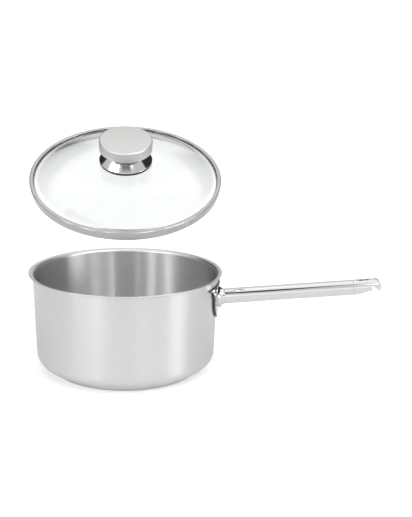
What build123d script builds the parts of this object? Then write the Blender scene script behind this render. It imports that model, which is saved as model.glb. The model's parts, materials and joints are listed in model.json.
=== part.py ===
"""Stainless saucepan with a flared pouring lip, a tube handle and a domed glass lid.

Frame: millimetres, +Z up. The origin is on the pan's axis, on the underside of its base.
The handle points along +X. The lid is held clear of the pan, above it and tilted, as if
in a hand; a stand-in hinge lowers it level onto the lip.
"""

import os
from math import atan2, cos, degrees, hypot, radians, sin, sqrt, tan

from build123d import *

os.makedirs("parts", exist_ok=True)

# ---------------------------------------------------------------- driving dimensions

# Pan
pan_height = 99.3  # resting face to the top of the lip
rim_radius = 95.0  # outside of the lip
wall_top_radius = 90.9  # outside of the wall where the lip starts
draft = 2.2  # degrees that the wall leans outward
sheet = 1.0  # thickness of the drawn bowl
corner_radius = 13.4  # between the underside and the wall
lip_bend_radius = 1.6  # outside of the turn from wall to lip
lip_slope = 70.6  # degrees from upright that the lip leans out
lip_edge_round = 0.45

# Base
base_radius = 72.3
base_thickness = 5.5
base_cap_sheet = 0.7
base_edge_radius = 2.2

# Handle, measured along its own axis from where that axis meets the wall
handle_height = 77.8  # of that point above the resting face
handle_rise = 7.4  # degrees
tube_radius = 7.3
tube_wall = 1.2
tube_start = 9.5
tube_end = 134.0
handle_end = 159.7  # outermost point of the hook
spigot_length = 12.0
spigot_gap = 0.05

# Bracket between handle and wall
plate_thickness = 1.7
plate_standoff = 0.4  # height of the weld nuggets
plate_top = 89.5
plate_bottom = 57.0
plate_half_width = 25.5
neck_radius = 9.3  # where the neck meets the plate
neck_overlap = 1.0  # how much wider the neck is drawn before the plate's face cuts it
nugget_radius = 2.5

# Hook at the handle's end
hook_shell = 1.5
curl_outer_radius = 8.9
tip_drop = 2.4  # of the tip below the curl's centre
tip_thickness = 2.0
mouth_start = 17.2  # past the end of the tube
mouth_half_height = 2.8
scarf_start_along = 1.4  # past the end of the tube
scarf_bulge = (8.0, -5.0)  # past the end of the tube, below the axis
slot_length = 12.5
slot_width = 6.0
slot_setback = 2.5  # from the end of the tube to the slot

# Lid, measured along its own axis from the bottom of its rim band
lid_radius = 92.0
band_height = 8.4
band_sheet = 0.6
band_draw_in = 0.9  # how much narrower the band is at the bottom
band_width = 4.6
band_leaf = 3.4  # how far the band reaches in over the glass
band_corner_radius = 0.9
glass_thickness = 4.0
glass_hole_radius = 5.5
crown_height = 25.0  # top of the glass under the knob
crown_flat_radius = 25.5
glass_step_radius = 8.0  # where the dome turns out into the edge
glass_edge_inset = 1.3  # from the band's outside to the glass edge
glass_edge_flat = 2.2
seat_gap = 0.4  # left between the band's corner and the lip's turn when the lid is on

# Knob, on top of the crown
knob_radius = 25.2
knob_sheet = 1.0
gasket_thickness = 2.0
gasket_inset = 0.3
waist_radius = 14.6
waist_bend = 3.0
flange_bend = 1.0
flange_lift = 0.8  # of the spool's upper flange above the cap's lower edge
flange_gap = 0.1  # round that flange, inside the cap
cap_height = 9.9
cap_edge_radius = 1.3
cap_roof = 1.3
knob_height = 24.4
filler_foot_radius = 21.0
insert_radius = 4.2

# Fastening under the crown
screw_radius = 2.45
screw_length = 18.0
screw_head_radius = 4.75
screw_head_height = 3.2
screw_head_round = 1.6
screw_clearance = 0.2
thread_gap = 0.05
sleeve_gap = 0.1
seal_radius = 12.5
seal_thickness = 1.5
washer_radius = 12.0
washer_thickness = 1.2
spring_washer_radius = 4.6

# Where the lid is held: turned up about a level line in front of the pan
lid_turn_azimuth = 13.0  # degrees from +X to that line
lid_tilt = 24.3  # degrees
hinge_reach = 201.0  # from the pan's axis to the line
hinge_height = 149.35  # of the line above the resting face

# ---------------------------------------------------------------- worked-out places

# the lip's turn takes up part of its reach, and a straight flange the rest
bend_reach = lip_bend_radius * (cos(radians(draft)) - cos(radians(lip_slope)))
bend_rise = lip_bend_radius * (sin(radians(lip_slope)) - sin(radians(draft)))
flange_length = (rim_radius - wall_top_radius - bend_reach) / sin(radians(lip_slope))
flange_rise = flange_length * cos(radians(lip_slope)) + sheet * sin(radians(lip_slope))
lip_start = pan_height - flange_rise - bend_rise
# centre of the lip's turn, outside the wall
lip_centre_radius = wall_top_radius + lip_bend_radius * cos(radians(draft))
lip_centre_height = lip_start - lip_bend_radius * sin(radians(draft))
# where the wall's line meets the underside, and how far the flat floor reaches
wall_foot_radius = wall_top_radius - (lip_start - base_thickness) * tan(radians(draft))
corner_turn = 90.0 - draft
floor_radius = wall_foot_radius - corner_radius * tan(radians(corner_turn / 2))


def wall_radius(height, outward=0.0):
    """Radius of the wall's outside at a height, moved outward by a distance."""
    return wall_foot_radius + (height - base_thickness) * tan(radians(draft)) + outward


handle_direction = Vector(cos(radians(handle_rise)), 0, sin(radians(handle_rise)))
handle_root = Vector(wall_radius(handle_height), 0, handle_height)
handle_side = Plane(origin=handle_root, x_dir=handle_direction, z_dir=(0, -1, 0))
handle_section = Plane(origin=handle_root, x_dir=(0, 1, 0), z_dir=handle_direction)
handle_above = Plane(
    origin=handle_root, x_dir=handle_direction, z_dir=handle_side.y_dir
)
handle_axis = Axis(handle_root, handle_direction)

# on its seat the lid's band stands with its bottom corner on the inside of the lip's turn
band_foot_radius = lid_radius - band_draw_in
corner_reach = lip_bend_radius + sheet + band_corner_radius + seat_gap
corner_across = lip_centre_radius - (band_foot_radius - band_corner_radius)
seat_height = (
    lip_centre_height
    + sqrt(corner_reach**2 - corner_across**2)
    - band_corner_radius
)

hinge_direction = Vector(
    cos(radians(lid_turn_azimuth)), sin(radians(lid_turn_azimuth)), 0
)
hinge_point = Vector(
    hinge_reach * hinge_direction.Y, -hinge_reach * hinge_direction.X, hinge_height
)
tilt_axis = Axis((0, 0, 0), hinge_direction)
seat_from_hinge = Vector(0, 0, seat_height) - hinge_point
lid_origin = hinge_point + seat_from_hinge.rotate(tilt_axis, lid_tilt)
lid_up = Vector(0, 0, 1).rotate(tilt_axis, lid_tilt)
lid_level = Plane(origin=lid_origin, x_dir=hinge_direction, z_dir=lid_up)
lid_side = Plane(
    origin=lid_origin, x_dir=hinge_direction, z_dir=hinge_direction.cross(lid_up)
)
lid_axis = Axis(lid_origin, lid_up)

spool_bottom = crown_height + gasket_thickness
knob_top = crown_height + knob_height
cap_bottom = knob_top - cap_height
cap_inside_radius = knob_radius - knob_sheet
flange_top = cap_bottom + flange_lift + knob_sheet
crown_underside = crown_height - glass_thickness
seal_bottom = crown_underside - seal_thickness
washer_bottom = seal_bottom - washer_thickness
spring_washer_bottom = washer_bottom - washer_thickness
screw_hole = screw_radius + screw_clearance

# ---------------------------------------------------------------- pan


def make_pan_body():
    """The bowl, drawn from one sheet: floor, corner, drafted wall and turned-out lip."""
    with BuildPart() as bowl:
        with BuildSketch(Plane.XZ) as section:
            with BuildLine():
                floor = Line((0, base_thickness), (floor_radius, base_thickness))
                corner = JernArc(floor @ 1, floor % 1, corner_radius, corner_turn)
                wall = Line(corner @ 1, (wall_top_radius, lip_start))
                turn = JernArc(wall @ 1, wall % 1, lip_bend_radius, draft - lip_slope)
                Line(turn @ 1, turn @ 1 + flange_length * (turn % 1))
                offset(amount=sheet, side=Side.LEFT)
            make_face()
            ends = section.vertices()
            lip_ends = [ends.sort_by(Axis.X)[-1], ends.sort_by(Axis.Y)[-1]]
            fillet(lip_ends, radius=lip_edge_round)
        revolve(axis=Axis.Z)
    return bowl


def make_base_core():
    """The aluminium disc that spreads the heat."""
    with BuildPart() as core:
        with BuildSketch(Plane.XY.offset(base_cap_sheet)):
            Circle(base_radius - base_cap_sheet)
        extrude(amount=base_thickness - base_cap_sheet)
        lower_edge = core.edges().group_by(Axis.Z)[0]
        fillet(lower_edge, radius=base_edge_radius - base_cap_sheet)
    return core


def make_base_cap(core):
    """The steel cup pressed over the core, its edge against the bowl's underside."""
    with BuildPart() as cap:
        with BuildSketch(Plane.XY):
            Circle(base_radius)
        extrude(amount=base_thickness)
        fillet(cap.edges().group_by(Axis.Z)[0], radius=base_edge_radius)
        add(core.part, mode=Mode.SUBTRACT)
    return cap


pan_body = make_pan_body()
pan_body.part.label = "pan_body"
export_step(pan_body.part, "parts/pan_body.step")

base_core = make_base_core()
base_core.part.label = "base_core"
export_step(base_core.part, "parts/base_core.step")

base_cap = make_base_cap(base_core)
base_cap.part.label = "base_cap"
export_step(base_cap.part, "parts/base_cap.step")

# ---------------------------------------------------------------- bracket and handle


def wall_ring(inner, outer):
    """A ring that follows the wall, between two distances out from it."""
    with BuildPart() as ring:
        with BuildSketch(Plane.XZ):
            with BuildLine():
                Polyline(
                    (wall_radius(plate_bottom, inner), plate_bottom),
                    (wall_radius(plate_bottom, outer), plate_bottom),
                    (wall_radius(plate_top, outer), plate_top),
                    (wall_radius(plate_top, inner), plate_top),
                    close=True,
                )
            make_face()
        revolve(axis=Axis.Z)
    return ring


def make_bracket_plate():
    """A shield-shaped plate, wide under the lip and pointed below, bent to the wall."""
    tip_height = plate_top - 1.4
    waist = (0.48 * plate_half_width, handle_height - 2.5)
    shoulder = (0.64 * plate_half_width, handle_height + 6.0)
    flank = (0.34 * plate_half_width, plate_bottom + 8.0)
    with BuildPart() as plate:
        add(wall_ring(plate_standoff, plate_standoff + plate_thickness).part)
        with BuildSketch(Plane.YZ.offset(wall_foot_radius / 2)):
            with BuildLine():
                Line((0, plate_top), (plate_half_width, plate_top))
                Line((plate_half_width, plate_top), (plate_half_width, tip_height))
                ThreePointArc((plate_half_width, tip_height), shoulder, waist)
                ThreePointArc(waist, flank, (0, plate_bottom))
                mirror(about=Plane.YZ)
            make_face()
        extrude(amount=wall_foot_radius, mode=Mode.INTERSECT)
    return plate


def make_plate_weld_nuggets():
    """Four projection welds that fill the gap between the plate and the wall."""
    upper = (0.4 * plate_half_width, handle_height + 6.0)
    lower = (0.17 * plate_half_width, handle_height - 12.0)
    with BuildPart() as nuggets:
        with BuildSketch(Plane.YZ.offset(wall_foot_radius / 2)):
            for across, height in (upper, lower):
                with Locations((-across, height), (across, height)):
                    Circle(nugget_radius)
        extrude(amount=wall_foot_radius)
        add(wall_ring(0, plate_standoff).part, mode=Mode.INTERSECT)
    return nuggets


def make_bracket_neck():
    """A turned neck that tapers from the plate to the tube, with a spigot inside it."""
    plate_face = plate_standoff + plate_thickness
    spigot_radius = tube_radius - tube_wall - spigot_gap
    hollow_of_taper = (plate_face + 2.6, tube_radius + 0.6)
    with BuildPart() as neck:
        with BuildSketch(handle_side):
            with BuildLine():
                Polyline(
                    (tube_start, tube_radius),
                    (tube_start, spigot_radius),
                    (tube_start + spigot_length, spigot_radius),
                    (tube_start + spigot_length, 0),
                    (0, 0),
                    (0, neck_radius + neck_overlap),
                    (plate_face, neck_radius),
                )
                ThreePointArc(
                    (plate_face, neck_radius),
                    hollow_of_taper,
                    (tube_start, tube_radius),
                )
            make_face()
        revolve(axis=handle_axis)
        # the neck's end is shaped to the plate's outer face
        with BuildSketch(Plane.XZ):
            with BuildLine():
                Polyline(
                    (0, plate_bottom),
                    (wall_radius(plate_bottom, plate_face), plate_bottom),
                    (wall_radius(pan_height, plate_face), pan_height),
                    (0, pan_height),
                    close=True,
                )
            make_face()
        revolve(axis=Axis.Z, mode=Mode.SUBTRACT)
    return neck


def make_handle_tube():
    """The hollow tube between the neck and the hook."""
    with BuildPart() as tube:
        with BuildSketch(handle_section.offset(tube_start)):
            Circle(tube_radius)
            Circle(tube_radius - tube_wall, mode=Mode.SUBTRACT)
        extrude(amount=tube_end - tube_start)
    return tube


def hook_form(inset, start, scarf):
    """The handle's end, drawn in by an inset: round above and curled down at the tip.

    With a scarf its underside rises to the hook's mouth; without one it runs straight
    through below, as the hollow inside does.
    """
    radius = tube_radius - inset
    # the outline stands this far outside the tube, so that only the curl cuts it
    clear = 0.6
    plan_margin = 0.5
    past_end = 1.0
    curl_radius = curl_outer_radius - inset
    curl_centre = (handle_end - curl_outer_radius, tube_radius + clear - curl_outer_radius)
    tip_along = curl_centre[0] + sqrt(curl_radius**2 - tip_drop**2)
    tip = (tip_along, curl_centre[1] - tip_drop)
    curl_start = (curl_centre[0], curl_centre[1] + curl_radius)
    middle = radians(45.0)
    curl_middle = (
        curl_centre[0] + curl_radius * sin(middle),
        curl_centre[1] + curl_radius * cos(middle),
    )
    mouth = tube_end + mouth_start
    mouth_top = (mouth, mouth_half_height)
    mouth_bottom = (mouth, -mouth_half_height)
    tip_inside = (tip[0] - tip_thickness, tip[1])
    mouth_roof = (mouth + 2.6, 0.2)
    scarf_start = (tube_end + scarf_start_along, -radius - clear)
    scarf_middle = (tube_end + scarf_bulge[0], scarf_bulge[1])
    with BuildPart() as form:
        with BuildSketch(handle_side):
            with BuildLine():
                Line((start, radius + clear), curl_start)
                ThreePointArc(curl_start, curl_middle, tip)
                if scarf:
                    Line(tip, tip_inside)
                    ThreePointArc(tip_inside, mouth_roof, mouth_top)
                    Line(mouth_top, mouth_bottom)
                    ThreePointArc(mouth_bottom, scarf_middle, scarf_start)
                    Line(scarf_start, (start, -radius - clear))
                else:
                    Line(tip, (tip[0], -radius - clear))
                    Line((tip[0], -radius - clear), (start, -radius - clear))
                Line((start, -radius - clear), (start, radius + clear))
            make_face()
        extrude(amount=2 * tube_radius, both=True)
        with BuildSketch(handle_section.offset(start)):
            Circle(radius)
        extrude(amount=handle_end - start + past_end, mode=Mode.INTERSECT)
        # seen from above the tip is round, a little wider than the tube
        plan_radius = radius + plan_margin
        plan_centre = handle_end + plan_margin - inset - plan_radius
        plan_start = start - past_end
        with BuildSketch(handle_above):
            with Locations(((plan_start + plan_centre) / 2, 0)):
                Rectangle(plan_centre - plan_start, 2 * plan_radius)
            with Locations((plan_centre, 0)):
                Circle(plan_radius)
        extrude(amount=2 * tube_radius, both=True, mode=Mode.INTERSECT)
    return form


def make_handle_hook():
    """The end fitting: a hollow scarfed end with a hanging slot and a hook."""
    slot_middle = tube_end + slot_setback + slot_length / 2
    hollow = hook_form(hook_shell, tube_end + hook_shell, scarf=False)
    with BuildPart() as hook:
        add(hook_form(0, tube_end, scarf=True).part)
        add(hollow.part, mode=Mode.SUBTRACT)
        with BuildSketch(handle_above):
            with Locations((slot_middle, 0)):
                SlotOverall(slot_length, slot_width)
        extrude(amount=2 * tube_radius, mode=Mode.SUBTRACT)
        with BuildSketch(handle_section.offset(tube_end - spigot_length)):
            Circle(tube_radius - tube_wall - spigot_gap)
        extrude(amount=spigot_length)
    return hook


bracket_plate = make_bracket_plate()
bracket_plate.part.label = "bracket_plate"
export_step(bracket_plate.part, "parts/bracket_plate.step")

plate_weld_nuggets = make_plate_weld_nuggets()
plate_weld_nuggets.part.label = "plate_weld_nuggets"
export_step(plate_weld_nuggets.part, "parts/plate_weld_nuggets.step")

bracket_neck = make_bracket_neck()
bracket_neck.part.label = "bracket_neck"
export_step(bracket_neck.part, "parts/bracket_neck.step")

handle_tube = make_handle_tube()
handle_tube.part.label = "handle_tube"
export_step(handle_tube.part, "parts/handle_tube.step")

handle_hook = make_handle_hook()
handle_hook.part.label = "handle_hook"
export_step(handle_hook.part, "parts/handle_hook.step")

# ---------------------------------------------------------------- lid


def lid_ring(inner, outer, bottom, top):
    """A flat ring about the lid's axis, between two heights above the band's bottom."""
    with BuildPart() as ring:
        with BuildSketch(lid_level.offset(bottom)):
            Circle(outer)
            Circle(inner, mode=Mode.SUBTRACT)
        extrude(amount=top - bottom)
    return ring


def make_lid_rim_band():
    """A strip rolled round the glass edge: leaf above, wall outside, channel below."""
    half = band_sheet / 2
    top = band_height - half
    outer = lid_radius - half
    inner = lid_radius - band_width
    with BuildPart() as band:
        with BuildSketch(lid_side):
            with BuildLine():
                FilletPolyline(
                    (lid_radius - band_leaf, top),
                    (outer, top),
                    (outer - band_draw_in, half),
                    (inner, half),
                    (inner - half, band_height - band_sheet - glass_thickness - half),
                    radius=band_corner_radius - half,
                )
                offset(amount=half)
            make_face()
        revolve(axis=lid_axis)
    return band


def make_lid_glass():
    """The tempered dome: flat crown with a hole, dome, and an edge that the band grips."""
    half = glass_thickness / 2
    crown = crown_height - half
    edge = band_height - band_sheet - half
    edge_end = lid_radius - glass_edge_inset - half
    step_end = edge_end - glass_edge_flat
    run = step_end - crown_flat_radius
    drop = crown - edge
    turn = 2 * atan2(drop, run)
    dome_radius = hypot(run, drop) / (2 * sin(turn / 2)) - glass_step_radius
    with BuildPart() as glass:
        with BuildSketch(lid_side):
            with BuildLine():
                flat = Line((glass_hole_radius + half, crown), (crown_flat_radius, crown))
                dome = JernArc(flat @ 1, flat % 1, dome_radius, -degrees(turn))
                step = JernArc(dome @ 1, dome % 1, glass_step_radius, degrees(turn))
                Line(step @ 1, (edge_end, edge))
                offset(amount=half)
            make_face()
        revolve(axis=lid_axis)
    return glass


lid_rim_band = make_lid_rim_band()
lid_rim_band.part.label = "lid_rim_band"
export_step(lid_rim_band.part, "parts/lid_rim_band.step")

lid_glass = make_lid_glass()
lid_glass.part.label = "lid_glass"
export_step(lid_glass.part, "parts/lid_glass.step")

# ---------------------------------------------------------------- knob


def make_knob_spool():
    """A spun shell: a conical foot, a waist, and a flange that closes the cap below."""
    half = knob_sheet / 2
    foot = (knob_radius - half, spool_bottom + half)
    waist = waist_radius - half
    # the foot rises as much as it draws in
    waist_bottom = foot[1] + foot[0] - waist
    with BuildPart() as spool:
        with BuildSketch(lid_side):
            with BuildLine():
                FilletPolyline(
                    foot,
                    (waist, waist_bottom),
                    (waist, flange_top - half),
                    (cap_inside_radius - flange_gap - half, flange_top - half),
                    radius=[waist_bend, flange_bend],
                )
                offset(amount=half)
            make_face()
        revolve(axis=lid_axis)
    return spool


def make_knob_cap():
    """The satin cap: a drawn cup, open below, with a softened top edge."""
    with BuildPart() as cap:
        with BuildSketch(lid_level.offset(cap_bottom)):
            Circle(knob_radius)
        extrude(amount=cap_height)
        fillet(cap.faces().sort_by(lid_axis)[-1].edges(), radius=cap_edge_radius)
        with BuildSketch(lid_level.offset(cap_bottom)):
            Circle(cap_inside_radius)
        extrude(amount=cap_height - cap_roof, mode=Mode.SUBTRACT)
    return cap


def make_knob_core():
    """The moulded filler that joins spool and cap and holds the threaded insert."""
    waist_inside = waist_radius - knob_sheet
    # on the inside of the foot's cone, radius and height add up to this
    cone_inside = knob_radius + spool_bottom - knob_sheet * sqrt(0.5)
    with BuildPart() as core:
        with BuildSketch(lid_side):
            with BuildLine():
                Polyline(
                    (waist_inside, cone_inside - waist_inside),
                    (waist_inside, flange_top),
                    (cap_inside_radius, flange_top),
                    (cap_inside_radius, knob_top - cap_roof),
                    (0, knob_top - cap_roof),
                    (0, cap_bottom),
                    (insert_radius, cap_bottom),
                    (insert_radius, spool_bottom),
                    (filler_foot_radius, spool_bottom),
                    (filler_foot_radius, cone_inside - filler_foot_radius),
                    close=True,
                )
            make_face()
        revolve(axis=lid_axis)
    return core


def make_lid_screw():
    """A domed screw with a cross recess, head down, its thread plain at full size."""
    shank_top = spring_washer_bottom + screw_length
    recess_length = 5.2
    recess_width = 1.1
    recess_depth = 1.8
    head_bottom = spring_washer_bottom - screw_head_height
    with BuildPart() as screw:
        with BuildSketch(lid_level.offset(head_bottom)):
            Circle(screw_head_radius)
        extrude(amount=screw_head_height)
        fillet(screw.faces().sort_by(lid_axis)[0].edges(), radius=screw_head_round)
        with BuildSketch(lid_level.offset(spring_washer_bottom)):
            Circle(screw_radius)
        extrude(amount=shank_top - spring_washer_bottom)
        with BuildSketch(lid_level.offset(head_bottom)):
            Rectangle(recess_length, recess_width)
            Rectangle(recess_width, recess_length)
        extrude(amount=recess_depth, mode=Mode.SUBTRACT)
    return screw


def make_screw_spring_washer():
    """A split ring under the screw's head."""
    split_width = 1.0
    with BuildPart() as washer:
        with BuildSketch(lid_level.offset(spring_washer_bottom)):
            Circle(spring_washer_radius)
            Circle(screw_hole, mode=Mode.SUBTRACT)
            with Locations(((spring_washer_radius + screw_hole) / 2, 0)):
                Rectangle(spring_washer_radius, split_width, mode=Mode.SUBTRACT)
        extrude(amount=washer_thickness)
    return washer


knob_gasket = lid_ring(
    screw_hole, knob_radius - gasket_inset, crown_height, spool_bottom
)
knob_gasket.part.label = "knob_gasket"
export_step(knob_gasket.part, "parts/knob_gasket.step")

knob_spool = make_knob_spool()
knob_spool.part.label = "knob_spool"
export_step(knob_spool.part, "parts/knob_spool.step")

knob_cap = make_knob_cap()
knob_cap.part.label = "knob_cap"
export_step(knob_cap.part, "parts/knob_cap.step")

knob_core = make_knob_core()
knob_core.part.label = "knob_core"
export_step(knob_core.part, "parts/knob_core.step")

knob_insert = lid_ring(
    screw_radius + thread_gap, insert_radius, spool_bottom, cap_bottom
)
knob_insert.part.label = "knob_insert"
export_step(knob_insert.part, "parts/knob_insert.step")

glass_hole_sleeve = lid_ring(
    screw_hole, glass_hole_radius - sleeve_gap, crown_underside, crown_height
)
glass_hole_sleeve.part.label = "glass_hole_sleeve"
export_step(glass_hole_sleeve.part, "parts/glass_hole_sleeve.step")

under_glass_gasket = lid_ring(screw_hole, seal_radius, seal_bottom, crown_underside)
under_glass_gasket.part.label = "under_glass_gasket"
export_step(under_glass_gasket.part, "parts/under_glass_gasket.step")

under_glass_washer = lid_ring(screw_hole, washer_radius, washer_bottom, seal_bottom)
under_glass_washer.part.label = "under_glass_washer"
export_step(under_glass_washer.part, "parts/under_glass_washer.step")

screw_spring_washer = make_screw_spring_washer()
screw_spring_washer.part.label = "screw_spring_washer"
export_step(screw_spring_washer.part, "parts/screw_spring_washer.step")

lid_screw = make_lid_screw()
lid_screw.part.label = "lid_screw"
export_step(lid_screw.part, "parts/lid_screw.step")

# ---------------------------------------------------------------- what the record needs

print(f"lip starts at {lip_start:.2f}, its flange is {flange_length:.2f} long")
print(f"seated lid origin height {seat_height:.3f}")
print(f"held lid origin {lid_origin}, axis {lid_up}")
print(f"hinge point {hinge_point}, direction {hinge_direction}")
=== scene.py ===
"""Looks of the saucepan with its glass lid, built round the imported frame.

Everything is in metres in the frame of the design: +Z up, the pan's axis on Z, the handle
along +X. Round pieces are turned outlines; the lid's pieces are turned about its own axis.
"""

import json
import math

import bmesh
import bpy
from mathutils import Matrix, Vector


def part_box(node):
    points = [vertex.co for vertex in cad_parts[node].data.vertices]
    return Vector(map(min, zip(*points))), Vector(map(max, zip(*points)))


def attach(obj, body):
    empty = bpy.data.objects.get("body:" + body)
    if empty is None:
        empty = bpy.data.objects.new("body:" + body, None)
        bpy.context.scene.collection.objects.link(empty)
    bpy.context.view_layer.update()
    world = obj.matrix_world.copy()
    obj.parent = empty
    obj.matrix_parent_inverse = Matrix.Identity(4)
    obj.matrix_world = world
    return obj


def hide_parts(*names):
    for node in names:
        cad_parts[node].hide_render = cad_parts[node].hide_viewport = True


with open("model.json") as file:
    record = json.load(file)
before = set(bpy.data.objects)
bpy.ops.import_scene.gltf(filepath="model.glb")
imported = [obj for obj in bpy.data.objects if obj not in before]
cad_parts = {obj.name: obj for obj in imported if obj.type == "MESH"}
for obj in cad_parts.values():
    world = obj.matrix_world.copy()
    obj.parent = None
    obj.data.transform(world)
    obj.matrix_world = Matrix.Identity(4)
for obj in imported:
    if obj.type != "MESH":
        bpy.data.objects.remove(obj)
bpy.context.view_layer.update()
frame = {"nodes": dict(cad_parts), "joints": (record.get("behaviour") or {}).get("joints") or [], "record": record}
record = frame["record"]

MM = 0.001

# ---------------------------------------------------------------- sizes

# pan, from the frame
rim_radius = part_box("pan_body")[1].x
pan_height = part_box("pan_body")[1].z
base_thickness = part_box("pan_body")[0].z
base_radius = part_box("base_cap")[1].x

# pan, details of the drawn sheet
sheet = 1.0 * MM
draft = 2.2
lip_slope = 70.6
lip_width = 3.98 * MM
lip_bend_radius = 1.6 * MM
wall_top_radius = rim_radius - lip_width
corner_radius = 13.4 * MM
base_edge_radius = 2.2 * MM
base_top_edge = 0.5 * MM
base_cap_sheet = 0.7 * MM
base_gap = 0.02 * MM

lip_rise = math.radians(90.0 - lip_slope)
lip_end_radius = rim_radius - sheet / 2 * (1 - math.sin(lip_rise))
lip_end_height = pan_height - sheet / 2 * (1 + math.cos(lip_rise))
bend_reach = lip_bend_radius * (math.cos(math.radians(draft)) - math.sin(lip_rise))
bend_rise = lip_bend_radius * (math.cos(lip_rise) - math.sin(math.radians(draft)))
flange_length = (lip_end_radius - wall_top_radius - bend_reach) / math.cos(lip_rise)
lip_start = lip_end_height - flange_length * math.sin(lip_rise) - bend_rise
wall_slope = math.tan(math.radians(draft))
wall_foot_radius = wall_top_radius - (lip_start - base_thickness) * wall_slope
corner_turn = 90.0 - draft
floor_radius = wall_foot_radius - corner_radius * math.tan(math.radians(corner_turn / 2))

# handle, along its own axis from where that axis meets the wall
handle_height = 77.8 * MM
handle_rise = 7.4
tube_radius = 7.3 * MM
tube_wall = 1.2 * MM
tube_start = 9.5 * MM
tube_end = 134.0 * MM
plate_face = 2.1 * MM
neck_back = 0.8 * MM
neck_foot_radius = 9.7 * MM
neck_flare_radius = 6.6 * MM
seam = 0.25 * MM
spigot_length = 12.0 * MM
spigot_gap = 0.05 * MM
tube_bore = tube_radius - tube_wall
spigot_radius = tube_bore - spigot_gap

# lid, along its own axis from the bottom of its band
lid_radius = 92.0 * MM
band_height = 8.4 * MM
band_sheet = 0.6 * MM
band_draw_in = 0.9 * MM
band_width = 4.6 * MM
band_leaf = 3.4 * MM
band_fold = 0.6 * MM
glass_thickness = 4.0 * MM
glass_edge_inset = 1.3 * MM
glass_edge_flat = 2.2 * MM
glass_hole_radius = 5.5 * MM
crown_height = 25.0 * MM
crown_flat_radius = 25.5 * MM
glass_step_radius = 8.0 * MM

# knob
knob_radius = 25.2 * MM
knob_sheet = 1.0 * MM
gasket_thickness = 2.0 * MM
gasket_inset = 0.3 * MM
gasket_edge = 0.4 * MM
waist_radius = 14.6 * MM
waist_bend = 3.0 * MM
flange_bend = 1.0 * MM
flange_lift = 0.8 * MM
flange_gap = 0.1 * MM
cap_height = 9.9 * MM
knob_height = 24.4 * MM
cap_roof = 1.3 * MM
cap_edge = 1.3 * MM
cap_foot_edge = 0.35 * MM
cap_inside_edge = 0.6 * MM

# fastening under the crown
screw_hole = 2.65 * MM
seal_radius = 12.5 * MM
seal_thickness = 1.5 * MM
seal_edge = 0.3 * MM
washer_radius = 12.0 * MM
washer_thickness = 1.2 * MM
washer_edge = 0.4 * MM

spool_bottom = crown_height + gasket_thickness
knob_top = crown_height + knob_height
cap_bottom = knob_top - cap_height
cap_inside_radius = knob_radius - knob_sheet
flange_top = cap_bottom + flange_lift + knob_sheet
crown_underside = crown_height - glass_thickness
seal_bottom = crown_underside - seal_thickness
washer_bottom = seal_bottom - washer_thickness

# how finely round shapes are divided: sides of a full turn, and degrees per step of a bend
pan_sides = 256
handle_sides = 128
knob_sides = 160
washer_sides = 96
bend_step = 2.5
corner_step = 12.0
true_edge = 35.0

# the bowl's finishes, in the order of its material slots
BOWL_OUTSIDE = 0
BOWL_INSIDE = 1
BOWL_LIP = 2


def lid_frame():
    """The lid's own frame as it is held: on its seat, then swung up by the hinge's range."""
    joint = frame["joints"][0]
    mounts = {mount["name"]: mount for mount in record["mounts"]}
    seat = Matrix.Translation((0, 0, mounts["lid_seat"]["pos_m"][2]))
    hinge = Matrix.Translation(joint["pos_m"])
    swing = Matrix.Rotation(-math.radians(joint["range_deg"][1]), 4, Vector(joint["axis"]))
    return hinge @ swing @ hinge.inverted() @ seat


def handle_frame():
    """The handle's own frame: Z along the tube from the wall, X level and across it."""
    rise = math.radians(handle_rise)
    along = Vector((math.cos(rise), 0, math.sin(rise)))
    across = Vector((0, 1, 0))
    above = along.cross(across)
    root = (wall_foot_radius + (handle_height - base_thickness) * wall_slope, 0, handle_height)
    turn = Matrix((across, above, along)).transposed().to_4x4()
    return Matrix.Translation(root) @ turn


# ---------------------------------------------------------------- outlines and meshes


def arc_points(centre, radius, start, end, steps=12):
    """Points on a circle in the plane of an outline, from one angle to another."""
    points = []
    for step in range(steps + 1):
        angle = math.radians(start + (end - start) * step / steps)
        points.append((centre[0] + radius * math.cos(angle), centre[1] + radius * math.sin(angle)))
    return points


def rounded(*corners):
    """A closed outline; a corner is (radius, height) or (radius, height, rounding)."""
    points = []
    count = len(corners)
    for index, corner in enumerate(corners):
        here = Vector(corner[:2])
        rounding = corner[2] if len(corner) > 2 else 0.0
        if rounding == 0.0:
            points.append(tuple(here))
            continue
        back = (Vector(corners[index - 1][:2]) - here).normalized()
        ahead = (Vector(corners[(index + 1) % count][:2]) - here).normalized()
        half = back.angle(ahead) / 2
        start = here + back * rounding / math.tan(half)
        end = here + ahead * rounding / math.tan(half)
        centre = here + (back + ahead).normalized() * rounding / math.sin(half)
        from_angle = math.degrees(math.atan2(*reversed(start - centre)))
        sweep = math.degrees(math.atan2(*reversed(end - centre))) - from_angle
        sweep = (sweep + 180.0) % 360.0 - 180.0
        steps = max(3, round(abs(sweep) / corner_step))
        points += arc_points(centre, rounding, from_angle, from_angle + sweep, steps)
    return points


def straight(length):
    """A move for trace(): straight on."""
    return length, 0.0


def bend(radius, turn):
    """A move for trace(): round an arc, to the left for a positive turn in degrees."""
    return radius * abs(math.radians(turn)), turn


def trace(start, heading, *moves):
    """Stations (radius, height, heading) along straight and bent moves in an outline's plane."""
    across, up = start
    angle = math.radians(heading)
    stations = [(across, up, angle)]
    for length, turn in moves:
        steps = max(1, math.ceil(abs(turn) / bend_step))
        step_turn = math.radians(turn) / steps
        chord = length / steps
        if turn:
            chord *= math.sin(step_turn / 2) / (step_turn / 2)
        for _ in range(steps):
            across += chord * math.cos(angle + step_turn / 2)
            up += chord * math.sin(angle + step_turn / 2)
            angle += step_turn
            stations.append((across, up, angle))
    return stations


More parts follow.
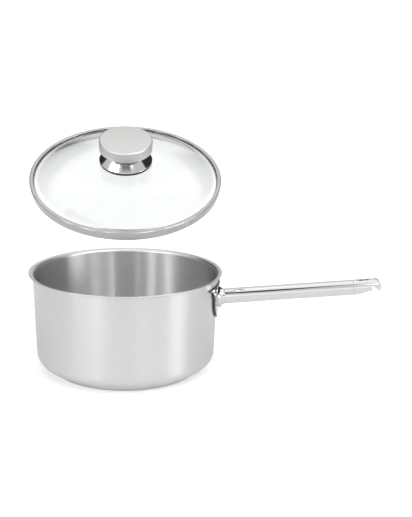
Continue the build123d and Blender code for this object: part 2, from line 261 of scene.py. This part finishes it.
def thicken(stations, low, high, round_start=True):
    """A closed outline round the stations, from low to high on their left, its ends rounded."""

    def side(station, reach):
        across, up, angle = station
        return across - math.sin(angle) * reach, up + math.cos(angle) * reach

    middle = (low + high) / 2
    half = (high - low) / 2
    points = [side(station, low) for station in stations]
    last = math.degrees(stations[-1][2])
    points += arc_points(side(stations[-1], middle), half, last - 90, last + 90, 8)[1:-1]
    points += [side(station, high) for station in reversed(stations)]
    if round_start:
        first = math.degrees(stations[0][2])
        points += arc_points(side(stations[0], middle), half, first + 90, first + 270, 8)[1:-1]
    return points


def new_object(name, mesh, place):
    """A linked object at the origin, its mesh moved to its place, smooth up to true edges."""
    mesh.transform(place)
    mesh.shade_smooth()
    mesh.set_sharp_from_angle(angle=math.radians(true_edge))
    piece = bpy.data.objects.new(name, mesh)
    bpy.context.scene.collection.objects.link(piece)
    return piece


def turned(name, outline, place, sides):
    """A closed outline of (radius, height) points turned about the local Z axis."""
    shape = bmesh.new()
    rings = []
    for radius, height in outline:
        if radius < 1e-6:
            rings.append([shape.verts.new((0, 0, height))])
            continue
        ring = []
        for step in range(sides):
            angle = 2 * math.pi * step / sides
            spot = (radius * math.cos(angle), radius * math.sin(angle), height)
            ring.append(shape.verts.new(spot))
        rings.append(ring)
    for index, ring in enumerate(rings):
        following = rings[(index + 1) % len(rings)]
        if len(ring) == 1 and len(following) == 1:
            continue
        for step in range(sides):
            beside = (step + 1) % sides
            if len(ring) == 1:
                shape.faces.new((ring[0], following[beside], following[step]))
            elif len(following) == 1:
                shape.faces.new((ring[step], ring[beside], following[0]))
            else:
                corners = (ring[step], ring[beside], following[beside], following[step])
                shape.faces.new(corners)
    bmesh.ops.recalc_face_normals(shape, faces=shape.faces)
    mesh = bpy.data.meshes.new(name)
    shape.to_mesh(mesh)
    shape.free()
    return new_object(name, mesh, place)


# ---------------------------------------------------------------- shader helpers


class Shader:
    """A material's node tree, with short ways to add the nodes used here.

    own_frame is where the pieces that wear the material have their own axis.
    """

    def __init__(self, name, own_frame=None):
        self.own_frame = own_frame
        self.material = bpy.data.materials.new(name)
        self.material.use_nodes = True
        self.tree = self.material.node_tree
        self.surface = self.tree.nodes["Principled BSDF"]

    def node(self, kind, **settings):
        made = self.tree.nodes.new("ShaderNode" + kind)
        for setting, value in settings.items():
            setattr(made, setting, value)
        return made

    def feed(self, socket, value):
        """Sets a socket to a number, or links another socket to it."""
        if isinstance(value, bpy.types.NodeSocket):
            self.tree.links.new(value, socket)
        else:
            socket.default_value = value

    def math(self, operation, *values):
        made = self.node("Math", operation=operation)
        for socket, value in zip(made.inputs, values):
            self.feed(socket, value)
        return made.outputs[0]

    def remap(self, value, low, high, to_low, to_high):
        made = self.node("MapRange")
        spans = (value, low, high, to_low, to_high)
        for socket, given in zip(made.inputs, spans):
            self.feed(socket, given)
        return made.outputs[0]

    def noise(self, vector, scale, detail=2.0, roughness=0.5, fourth=None):
        made = self.node("TexNoise", noise_dimensions="3D" if fourth is None else "4D")
        self.feed(made.inputs["Vector"], vector)
        made.inputs["Scale"].default_value = scale
        made.inputs["Detail"].default_value = detail
        made.inputs["Roughness"].default_value = roughness
        if fourth is not None:
            self.feed(made.inputs["W"], fourth)
        return made.outputs["Fac"]

    def blend(self, factor, first, second):
        """A colour between two others."""
        made = self.node("Mix", data_type="RGBA")
        self.feed(made.inputs["Factor"], factor)
        for socket, value in ((made.inputs[6], first), (made.inputs[7], second)):
            self.feed(socket, value)
        return made.outputs[2]

    def bump(self, height, distance, strength=1.0):
        made = self.node("Bump")
        made.inputs["Distance"].default_value = distance
        made.inputs["Strength"].default_value = strength
        self.feed(made.inputs["Height"], height)
        return made.outputs["Normal"]

    def place(self):
        """Where a spot is, seen from the pieces' own frame."""
        spot = self.node("TexCoord").outputs["Object"]
        if self.own_frame is None:
            return spot
        moved = self.node("Mapping", vector_type="TEXTURE")
        moved.inputs["Location"].default_value = self.own_frame.to_translation()
        moved.inputs["Rotation"].default_value = self.own_frame.to_euler()
        self.feed(moved.inputs["Vector"], spot)
        return moved.outputs["Vector"]

    def turning_lines(self, fineness, length):
        """Noise drawn out round the local Z axis, as brushing or turning leaves it.

        fineness is lines per metre across them, length how far round a line keeps its tone.
        """
        split = self.node("SeparateXYZ")
        self.feed(split.inputs[0], self.place())
        across, deep, up = split.outputs
        radius = self.math("SQRT", self.math("ADD", self.math("MULTIPLY", across, across),
                                             self.math("MULTIPLY", deep, deep)))
        not_zero = self.math("MAXIMUM", radius, 1e-5)
        cosine = self.math("DIVIDE", across, not_zero)
        sine = self.math("DIVIDE", deep, not_zero)
        joined = self.node("CombineXYZ")
        self.feed(joined.inputs[0], self.math("MULTIPLY", radius, fineness))
        self.feed(joined.inputs[1], self.math("MULTIPLY", up, fineness))
        self.feed(joined.inputs[2], self.math("MULTIPLY", cosine, length))
        fourth = self.math("MULTIPLY", sine, length)
        return self.noise(joined.outputs[0], 1.0, detail=3.0, roughness=0.65, fourth=fourth)


def grey(level, warmth=0.0):
    """A linear grey, warmer for a positive warmth."""
    return level * (1 + warmth), level, level * (1 - warmth), 1.0


def worn(shader, colour, strength, edge_colour):
    """The colour, turning to the edge colour by up to strength on rubbed edges."""
    pointed = shader.node("NewGeometry").outputs["Pointiness"]
    wear = shader.remap(pointed, 0.52, 0.62, 0.0, strength)
    return shader.blend(wear, colour, edge_colour)


def brushed_steel(name, level, roughness, anisotropy, fineness, depth):
    """Stainless steel brushed round its axis: drawn-out lines, soft clouds, rubbed edges.

    The quarter turn of the tangent spreads highlights up and down, across the brush lines.
    """
    shader = Shader(name)
    lines = shader.turning_lines(fineness, 14.0)
    clouds = shader.noise(shader.place(), 18.0, detail=3.0)
    tone = shader.remap(lines, 0.3, 0.7, 0.0, 1.0)
    colour = shader.blend(tone, grey(level * 0.96), grey(level * 1.03))
    edges = grey(min(0.92, level * 1.15))
    shader.feed(shader.surface.inputs["Base Color"], worn(shader, colour, 0.5, edges))
    rough = shader.math("ADD", shader.remap(lines, 0.3, 0.7, roughness * 0.85, roughness * 1.15),
                        shader.remap(clouds, 0.3, 0.7, -0.02, 0.02))
    shader.feed(shader.surface.inputs["Roughness"], rough)
    shader.surface.inputs["Metallic"].default_value = 1.0
    shader.surface.inputs["Anisotropic"].default_value = anisotropy
    shader.surface.inputs["Anisotropic Rotation"].default_value = 0.25
    tangent = shader.node("Tangent", direction_type="RADIAL", axis="Z")
    shader.feed(shader.surface.inputs["Tangent"], tangent.outputs[0])
    shader.feed(shader.surface.inputs["Normal"], shader.bump(lines, depth))
    return shader.material


def polished_steel(name, own_frame, level, roughness):
    """Mirror-polished steel with faint polishing lines, wipe marks and rubbed edges."""
    shader = Shader(name, own_frame)
    lines = shader.turning_lines(5200.0, 30.0)
    smears = shader.noise(shader.place(), 60.0, detail=4.0, roughness=0.6)
    colour = shader.blend(smears, grey(level * 0.98), grey(level * 1.02))
    edges = grey(min(0.95, level * 1.1))
    shader.feed(shader.surface.inputs["Base Color"], worn(shader, colour, 0.4, edges))
    rough = shader.math("ADD", shader.remap(smears, 0.35, 0.7, roughness * 0.6, roughness * 1.6),
                        shader.remap(lines, 0.3, 0.7, 0.0, 0.02))
    shader.feed(shader.surface.inputs["Roughness"], rough)
    shader.surface.inputs["Metallic"].default_value = 1.0
    shader.feed(shader.surface.inputs["Normal"], shader.bump(lines, 0.4e-6))
    return shader.material


def sheared_steel(name, own_frame, level, roughness):
    """Plate polished where it faces along its own Z axis and dull on its sheared edges, which carry painted shade:
    a dark grey standing for the shadow round the plate.
    """
    shader = Shader(name, own_frame)
    along = shader.node("VectorMath", operation="DOT_PRODUCT")
    shader.feed(along.inputs[0], shader.node("TexCoord").outputs["Normal"])
    along.inputs[1].default_value = own_frame.col[2].to_3d()
    turned_to_face = shader.math("ABSOLUTE", along.outputs["Value"])
    dull_cut_with_painted_shade = shader.remap(turned_to_face, 0.2, 0.55, 1.0, 0.0)
    smears = shader.noise(shader.place(), 60.0, detail=4.0, roughness=0.6)
    face = shader.blend(smears, grey(level * 0.97), grey(level * 1.03))
    # painted shade: the sheared edges get a dark grey for the shadow round the plate, not the steel's own colour
    shader.feed(shader.surface.inputs["Base Color"], shader.blend(dull_cut_with_painted_shade, face, grey(0.14)))
    rough = shader.remap(smears, 0.3, 0.7, roughness * 0.7, roughness * 1.3)
    dull = shader.math("MULTIPLY", dull_cut_with_painted_shade, 0.4)
    shader.feed(shader.surface.inputs["Roughness"], shader.math("ADD", rough, dull))
    shader.surface.inputs["Metallic"].default_value = 1.0
    return shader.material


def satin_steel(name, own_frame, level, roughness, warmth=0.0):
    """Bead-blasted or finely satined steel with an even grain."""
    shader = Shader(name, own_frame)
    grain = shader.noise(shader.place(), 4200.0, detail=2.0, roughness=0.6)
    lines = shader.turning_lines(2600.0, 10.0)
    clouds = shader.noise(shader.place(), 45.0, detail=3.0)
    colour = shader.blend(clouds, grey(level * 0.97, warmth), grey(level * 1.03, warmth))
    edges = grey(min(0.92, level * 1.15), warmth)
    shader.feed(shader.surface.inputs["Base Color"], worn(shader, colour, 0.6, edges))
    rough = shader.math("ADD", shader.remap(grain, 0.3, 0.7, roughness * 0.9, roughness * 1.1),
                        shader.remap(lines, 0.3, 0.7, -0.03, 0.03))
    shader.feed(shader.surface.inputs["Roughness"], rough)
    shader.surface.inputs["Metallic"].default_value = 1.0
    height = shader.math("ADD", grain, lines)
    shader.feed(shader.surface.inputs["Normal"], shader.bump(height, 2e-6))
    return shader.material


def clear_glass(name):
    """Tempered glass, faintly cool, with a trace of wiped haze."""
    shader = Shader(name)
    haze = shader.noise(shader.place(), 30.0, detail=4.0, roughness=0.6)
    shader.feed(shader.surface.inputs["Base Color"],
                shader.blend(haze, (0.965, 0.99, 0.985, 1.0), (0.98, 1.0, 0.995, 1.0)))
    shader.feed(shader.surface.inputs["Roughness"], shader.remap(haze, 0.45, 0.75, 0.0, 0.03))
    shader.surface.inputs["IOR"].default_value = 1.5
    shader.surface.inputs["Transmission Weight"].default_value = 1.0
    ripple = shader.noise(shader.place(), 25.0, detail=1.0)
    shader.feed(shader.surface.inputs["Normal"], shader.bump(ripple, 4e-6))
    return shader.material


def rubber(name, level):
    """Black silicone with a fine moulded grain and dust-pale patches."""
    shader = Shader(name)
    grain = shader.noise(shader.place(), 2500.0, detail=2.0)
    clouds = shader.noise(shader.place(), 120.0, detail=3.0)
    dusty = shader.remap(clouds, 0.4, 0.75, 0.0, 0.5)
    shader.feed(shader.surface.inputs["Base Color"],
                shader.blend(dusty, grey(level), grey(level * 2.2)))
    shader.feed(shader.surface.inputs["Roughness"], shader.remap(grain, 0.3, 0.7, 0.5, 0.68))
    shader.surface.inputs["IOR"].default_value = 1.43
    shader.feed(shader.surface.inputs["Normal"], shader.bump(grain, 6e-6))
    return shader.material


# ---------------------------------------------------------------- pan


def make_pan_bowl(place):
    """One drawn sheet: floor, corner, wall leaning out by the draft, and the turned-out lip.

    The wall's inside is brushed more coarsely than its outside, and the lip is satin on top.
    """
    wall_length = (lip_start - base_thickness) / math.cos(math.radians(draft))
    corner_use = corner_radius * math.tan(math.radians(corner_turn / 2))
    stations = trace(
        (0, base_thickness), 0,
        straight(floor_radius),
        bend(corner_radius, corner_turn),
        straight(wall_length - corner_use),
        bend(lip_bend_radius, draft - lip_slope),
        straight(flange_length),
    )
    bowl = turned("pan_bowl", thicken(stations, 0, sheet, round_start=False), place, pan_sides)
    for polygon in bowl.data.polygons:
        outward = Vector((polygon.center.x, polygon.center.y, 0)).normalized()
        faces_in = polygon.normal.dot(outward) < polygon.normal.z
        if not faces_in:
            polygon.material_index = BOWL_OUTSIDE
        elif polygon.center.z > lip_start:
            polygon.material_index = BOWL_LIP
        else:
            polygon.material_index = BOWL_INSIDE
    return bowl


def make_pan_base(place):
    """The steel cup over the heat-spreading core, with a fine groove under the bowl."""
    top = base_thickness - base_gap
    inside = base_radius - base_cap_sheet
    outline = rounded(
        (0, 0),
        (base_radius, 0, base_edge_radius),
        (base_radius, top, base_top_edge),
        (inside, top),
        (inside, base_cap_sheet, base_edge_radius - base_cap_sheet),
        (0, base_cap_sheet),
    )
    return turned("pan_base", outline, place, pan_sides)


# ---------------------------------------------------------------- handle


def make_neck(place):
    """The turned neck, welded to the plate, with the spigot that carries the tube."""
    flare_centre = (tube_start, tube_radius + neck_flare_radius)
    flare = arc_points(flare_centre, neck_flare_radius, 270, 205)
    outline = [(0, neck_back), (neck_foot_radius, neck_back)]
    outline += [(radius, along) for along, radius in reversed(flare) if along > plate_face]
    outline[-1] = (tube_radius, tube_start - seam)
    outline += [
        (tube_radius - seam, tube_start),
        (spigot_radius, tube_start),
        (spigot_radius, tube_start + spigot_length),
        (0, tube_start + spigot_length),
    ]
    return turned("bracket_neck_turned", outline, place, handle_sides)


def make_tube(place):
    """The polished tube, its end edges broken."""
    outline = [
        (tube_bore, tube_start),
        (tube_radius - seam, tube_start),
        (tube_radius, tube_start + seam),
        (tube_radius, tube_end - seam),
        (tube_radius - seam, tube_end),
        (tube_bore, tube_end),
    ]
    return turned("handle_tube_polished", outline, place, handle_sides)


# ---------------------------------------------------------------- lid


def make_rim_band(place):
    """The strip rolled round the glass edge: leaf above, wall outside, channel below."""
    half = band_sheet / 2
    leaf_height = band_height - half
    outer = lid_radius - half
    foot_radius = outer - band_draw_in
    inner = lid_radius - band_width
    lean = math.degrees(math.atan2(leaf_height - half, band_draw_in))
    leaf_start = lid_radius - band_leaf
    upper_use = band_fold * math.tan(math.radians((180 - lean) / 2))
    lower_use = band_fold * math.tan(math.radians(lean / 2))
    side = math.hypot(leaf_height - half, band_draw_in)
    lip_height = band_height - band_sheet - glass_thickness - half
    stations = trace(
        (leaf_start, leaf_height), 0,
        straight(outer - leaf_start - upper_use),
        bend(band_fold, lean - 180),
        straight(side - upper_use - lower_use),
        bend(band_fold, -lean),
        straight(foot_radius - inner - lower_use - band_fold),
        bend(band_fold, -90),
        straight(lip_height - half - band_fold),
    )
    return turned("lid_rim_band_rolled", thicken(stations, -half, half), place, pan_sides)


def make_glass_dome(place):
    """The tempered dome with its centre hole and the edge that the band grips."""
    half = glass_thickness / 2
    crown = crown_height - half
    edge = band_height - band_sheet - half
    edge_end = lid_radius - glass_edge_inset - half
    step_end = edge_end - glass_edge_flat
    run = step_end - crown_flat_radius
    drop = crown - edge
    turn = 2 * math.atan2(drop, run)
    dome_radius = math.hypot(run, drop) / (2 * math.sin(turn / 2)) - glass_step_radius
    stations = trace(
        (glass_hole_radius + half, crown), 0,
        straight(crown_flat_radius - glass_hole_radius - half),
        bend(dome_radius, -math.degrees(turn)),
        bend(glass_step_radius, math.degrees(turn)),
        straight(edge_end - step_end),
    )
    return turned("lid_glass_dome", thicken(stations, -half, half), place, pan_sides)


def ring_outline(outer, bottom, top, edge):
    """A flat ring round the screw, with its outer edges rounded."""
    return rounded(
        (screw_hole, bottom), (outer, bottom, edge), (outer, top, edge), (screw_hole, top)
    )


def make_knob_gasket(place):
    """The silicone ring between knob and glass."""
    outer = knob_radius - gasket_inset
    outline = ring_outline(outer, crown_height, spool_bottom, gasket_edge)
    return turned("knob_gasket_ring", outline, place, knob_sides)


def make_spool(place):
    """The spun shell under the cap: a conical foot, a waist, and a flange inside the cap."""
    half = knob_sheet / 2
    foot = knob_radius - half
    waist = waist_radius - half
    cone_rise = foot - waist
    cone_use = waist_bend * math.tan(math.radians(45 / 2))
    waist_height = flange_top - half - (spool_bottom + half + cone_rise)
    stations = trace(
        (foot, spool_bottom + half), 135,
        straight(cone_rise * math.sqrt(2) - cone_use),
        bend(waist_bend, -45),
        straight(waist_height - cone_use - flange_bend),
        bend(flange_bend, -90),
        straight(cap_inside_radius - flange_gap - half - waist - flange_bend),
    )
    return turned("knob_spool_spun", thicken(stations, -half, half), place, knob_sides)


def make_cap(place):
    """The satin cap: a drawn cup, open below, with a softened top edge."""
    inside_top = knob_top - cap_roof
    outline = rounded(
        (0, knob_top),
        (0, inside_top),
        (cap_inside_radius, inside_top, cap_inside_edge),
        (cap_inside_radius, cap_bottom),
        (knob_radius, cap_bottom, cap_foot_edge),
        (knob_radius, knob_top, cap_edge),
    )
    return turned("knob_cap_satin", outline, place, knob_sides)


def make_seal(place):
    """The silicone washer under the crown."""
    outline = ring_outline(seal_radius, seal_bottom, crown_underside, seal_edge)
    return turned("under_glass_seal", outline, place, washer_sides)


def make_washer(place):
    """The steel washer under the seal."""
    outline = ring_outline(washer_radius, washer_bottom, seal_bottom, washer_edge)
    return turned("under_glass_cup", outline, place, washer_sides)


# ---------------------------------------------------------------- assembly

pan_place = Matrix.Identity(4)
handle_place = handle_frame()
lid_place = lid_frame()

pan_finish = brushed_steel("pan_steel_satin", 0.77, 0.33, 0.85, 5200.0, 2e-6)
inside_finish = brushed_steel("pan_steel_brushed_inside", 0.74, 0.40, 1.0, 2600.0, 6e-6)
lip_finish = satin_steel("pan_steel_satin_lip", pan_place, 0.84, 0.34)
base_finish = brushed_steel("base_steel_turned", 0.74, 0.30, 0.8, 3000.0, 4e-6)
rim_finish = polished_steel("rim_band_steel", lid_place, 0.52, 0.16)
plate_finish = sheared_steel("bracket_steel_sheared", handle_place, 0.74, 0.06)
handle_finish = polished_steel("handle_steel_polished", handle_place, 0.77, 0.035)
spool_finish = polished_steel("knob_spool_steel", lid_place, 0.74, 0.10)
cap_finish = satin_steel("knob_cap_satin_steel", lid_place, 0.72, 0.40, 0.012)
fastener_finish = satin_steel("fastener_steel", lid_place, 0.55, 0.45)
weld_finish = satin_steel("weld_steel", handle_place, 0.55, 0.45)
aluminium_finish = satin_steel("plain_aluminium", pan_place, 0.75, 0.5)
brass_finish = satin_steel("plain_brass", lid_place, 0.6, 0.35, 0.25)
glass_finish = clear_glass("tempered_glass")
silicone_finish = rubber("black_silicone", 0.018)
filler_finish = rubber("knob_filler_resin", 0.03)

# each piece: its mesh, the body it rides on, the node it replaces, the slot, its finishes
pieces = (
    (make_pan_bowl(pan_place), "pan", "pan_body", "pan_steel",
     pan_finish, inside_finish, lip_finish),
    (make_pan_base(pan_place), "pan", "base_cap", "base_steel", base_finish),
    (make_neck(handle_place), "pan", "bracket_neck", "polished_steel", handle_finish),
    (make_tube(handle_place), "pan", "handle_tube", "polished_steel", handle_finish),
    (make_rim_band(lid_place), "lid", "lid_rim_band", "rim_steel", rim_finish),
    (make_glass_dome(lid_place), "lid", "lid_glass", "lid_glass", glass_finish),
    (make_knob_gasket(lid_place), "lid", "knob_gasket", "black_silicone", silicone_finish),
    (make_spool(lid_place), "lid", "knob_spool", "knob_steel", spool_finish),
    (make_cap(lid_place), "lid", "knob_cap", "knob_satin", cap_finish),
    (make_seal(lid_place), "lid", "under_glass_gasket", "black_silicone", silicone_finish),
    (make_washer(lid_place), "lid", "under_glass_washer", "hidden_steel", fastener_finish),
)
for piece, body, node, slot, *finishes in pieces:
    for finish in finishes:
        piece.data.materials.append(finish)
    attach(piece, body)
    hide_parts(node)

# the nodes of the design that are shown as they are
kept_nodes = {
    "bracket_plate": plate_finish,
    "handle_hook": handle_finish,
    "plate_weld_nuggets": weld_finish,
    "base_core": aluminium_finish,
    "knob_core": filler_finish,
    "knob_insert": brass_finish,
    "glass_hole_sleeve": silicone_finish,
    "screw_spring_washer": fastener_finish,
    "lid_screw": fastener_finish,
}
for node, finish in kept_nodes.items():
    materials = frame["nodes"][node].data.materials
    materials.clear()
    materials.append(finish)

# ---------------------------------------------------------------- camera

camera_azimuth = 13.0
camera_distance = 1000.0 * MM
camera_height = 363.0 * MM
camera_yaw = 4.51
camera_pitch = 14.11
camera_roll = 1.04
camera_lens = 72.9


def make_camera():
    """The camera, turned from its line to the pan's axis by yaw, pitch and roll."""
    facing = math.radians(camera_azimuth - camera_yaw)
    pitch = math.radians(camera_pitch)
    ahead = Vector((-math.sin(facing) * math.cos(pitch), math.cos(facing) * math.cos(pitch),
                    -math.sin(pitch)))
    right = Vector((math.cos(facing), math.sin(facing), 0))
    above = right.cross(ahead)
    roll = math.radians(camera_roll)
    rolled_right = right * math.cos(roll) + above * math.sin(roll)
    rolled_above = above * math.cos(roll) - right * math.sin(roll)
    turn = Matrix((rolled_right, rolled_above, -ahead)).transposed().to_4x4()
    spot = Vector((
        camera_distance * math.sin(math.radians(camera_azimuth)),
        -camera_distance * math.cos(math.radians(camera_azimuth)),
        camera_height,
    ))
    data = bpy.data.cameras.new("camera")
    data.lens = camera_lens
    data.sensor_width = 36.0
    data.clip_start = 0.05
    data.clip_end = 50.0
    camera = bpy.data.objects.new("camera", data)
    bpy.context.scene.collection.objects.link(camera)
    camera.matrix_world = Matrix.Translation(spot) @ turn
    bpy.context.scene.camera = camera


make_camera()

# ---------------------------------------------------------------- floor and light

floor_reach = 15.0
floor_glow = 0.15
floor_lift = 0.35
lift_through_glass = 0.3
backdrop_light = 1.05
wall_light = 0.68
ceiling_light = 1.06


def make_floor():
    """A wide pale floor, lifted to a white sweep where it is seen, in part through glass too."""
    shader = Shader("white_floor")
    clouds = shader.noise(shader.place(), 2.0)
    shader.feed(shader.surface.inputs["Base Color"],
                shader.blend(clouds, grey(0.70), grey(0.72)))
    shader.surface.inputs["Roughness"].default_value = 0.9
    shader.surface.inputs["Specular IOR Level"].default_value = 0.0
    shader.surface.inputs["Emission Color"].default_value = (1, 1, 1, 1)
    path = shader.node("LightPath")
    through = shader.math("MULTIPLY", path.outputs["Is Transmission Ray"], lift_through_glass)
    seen = shader.math("MAXIMUM", path.outputs["Is Camera Ray"], through)
    shader.feed(shader.surface.inputs["Emission Strength"],
                shader.remap(seen, 0.0, 1.0, floor_glow, floor_glow + floor_lift))
    mesh = bpy.data.meshes.new("floor")
    corners = [(across * floor_reach, deep * floor_reach, 0)
               for across, deep in ((-1, -1), (1, -1), (1, 1), (-1, 1))]
    mesh.from_pydata(corners, [], [(0, 1, 2, 3)])
    mesh.materials.append(shader.material)
    floor = bpy.data.objects.new("floor", mesh)
    bpy.context.scene.collection.objects.link(floor)


class Studio:
    """The light round the object: an even tent with brighter panels and dark gaps."""

    def __init__(self):
        world = bpy.data.worlds.new("studio")
        bpy.context.scene.world = world
        world.use_nodes = True
        self.tree = world.node_tree
        direction = self.tree.nodes.new("ShaderNodeTexCoord").outputs["Generated"]
        split = self.tree.nodes.new("ShaderNodeSeparateXYZ")
        self.tree.links.new(direction, split.inputs[0])
        across, deep, up = split.outputs
        level = self.math("MULTIPLY", deep, -1.0)
        self.azimuth = self.math("DEGREES", self.math("ARCTAN2", across, level))
        self.elevation = self.math("DEGREES", self.math("ARCSINE", up))

    def feed(self, sockets, values):
        """Sets sockets to numbers, or links other sockets to them."""
        for socket, value in zip(sockets, values):
            if isinstance(value, bpy.types.NodeSocket):
                self.tree.links.new(value, socket)
            else:
                socket.default_value = value

    def math(self, operation, *values):
        made = self.tree.nodes.new("ShaderNodeMath")
        made.operation = operation
        self.feed(made.inputs, values)
        return made.outputs[0]

    def soft_step(self, distance, half, soft):
        """1 within half of the middle, falling smoothly to 0 over soft degrees."""
        made = self.tree.nodes.new("ShaderNodeMapRange")
        made.interpolation_type = "SMOOTHSTEP"
        self.feed(made.inputs, (distance, half, half + soft, 1.0, 0.0))
        return made.outputs[0]

    def panel(self, azimuth, width, elevation, height, soft):
        """A soft-edged patch: azimuth from the front towards +X, all in degrees."""
        turn = self.math("SUBTRACT", self.azimuth, azimuth)
        aside = self.math("ABSOLUTE", self.math("WRAP", turn, 180.0, -180.0))
        rise = self.math("ABSOLUTE", self.math("SUBTRACT", self.elevation, elevation))
        return self.math("MULTIPLY", self.soft_step(aside, width / 2, soft),
                         self.soft_step(rise, height / 2, soft))

    def finish(self, radiance):
        """Lights the scene with the pattern, while the camera itself sees plain white."""
        seen = self.tree.nodes.new("ShaderNodeLightPath").outputs["Is Camera Ray"]
        shown = self.tree.nodes.new("ShaderNodeMix")
        self.tree.links.new(seen, shown.inputs["Factor"])
        self.tree.links.new(radiance, shown.inputs[2])
        shown.inputs[3].default_value = backdrop_light
        background = self.tree.nodes["Background"]
        self.tree.links.new(shown.outputs[0], background.inputs["Strength"])
        background.inputs["Color"].default_value = (1, 1, 1, 1)


# Both lists: azimuth, width, elevation, height, softness of the edge, strength, the first five
# in degrees. A flag takes away that share of the light behind it.
flags = (
    (-41.0, 52.0, 47.0, 20.0, 3.0, 0.92),    # the dark line along the handle
    (15.0, 34.0, 33.0, 18.0, 3.0, 0.72),     # the grey middle of the knob's foot
    (-100.0, 60.0, 4.0, 16.0, 12.0, 0.4),    # the wall's darker left side
    (135.0, 70.0, 27.0, 28.0, 8.0, 0.95),    # the dark ends of the pan's inside
    (-126.0, 54.0, 24.0, 34.0, 8.0, 0.95),
)
lamps = (
    (63.0, 18.0, 47.0, 12.0, 3.0, 8.0),      # streaks in the pan's inside, from the left
    (34.0, 7.0, 47.0, 12.0, 3.0, 10.0),
    (-5.0, 3.0, 47.0, 12.0, 3.0, 7.0),
    (-23.0, 7.0, 27.0, 14.0, 3.0, 6.4),
    (-48.0, 9.0, 27.0, 14.0, 3.0, 5.4),
    (39.0, 10.0, 33.0, 12.0, 3.0, 1.1),      # white patches on the knob's foot
    (-34.0, 34.0, 29.0, 14.0, 3.0, 0.8),
    (79.0, 14.0, 2.0, 14.0, 8.0, 4.2),       # the bright band on the wall's right side
    (0.0, 50.0, -2.0, 14.0, 20.0, 0.5),      # the wall's middle
    (-26.0, 14.0, 2.0, 20.0, 10.0, 0.5),     # the soft band on its left side
    (138.0, 30.0, 64.0, 20.0, 12.0, 0.3),    # the knob's top
    (-112.0, 30.0, 64.0, 20.0, 12.0, 0.3),
)


def make_studio():
    """An even tent, lighter overhead, with the flags and lamps in it."""
    studio = Studio()
    from_top = studio.math("SUBTRACT", 90.0, studio.elevation)
    overhead = studio.soft_step(from_top, 34.0, 10.0)
    total = studio.math("MULTIPLY_ADD", overhead, ceiling_light - wall_light, wall_light)
    for *patch, share in flags:
        left = studio.math("MULTIPLY_ADD", studio.panel(*patch), -share, 1.0)
        total = studio.math("MULTIPLY", total, left)
    for *patch, strength in lamps:
        total = studio.math("MULTIPLY_ADD", studio.panel(*patch), strength, total)
    studio.finish(total)


make_floor()
make_studio()
bpy.context.scene.view_settings.view_transform = "Standard"
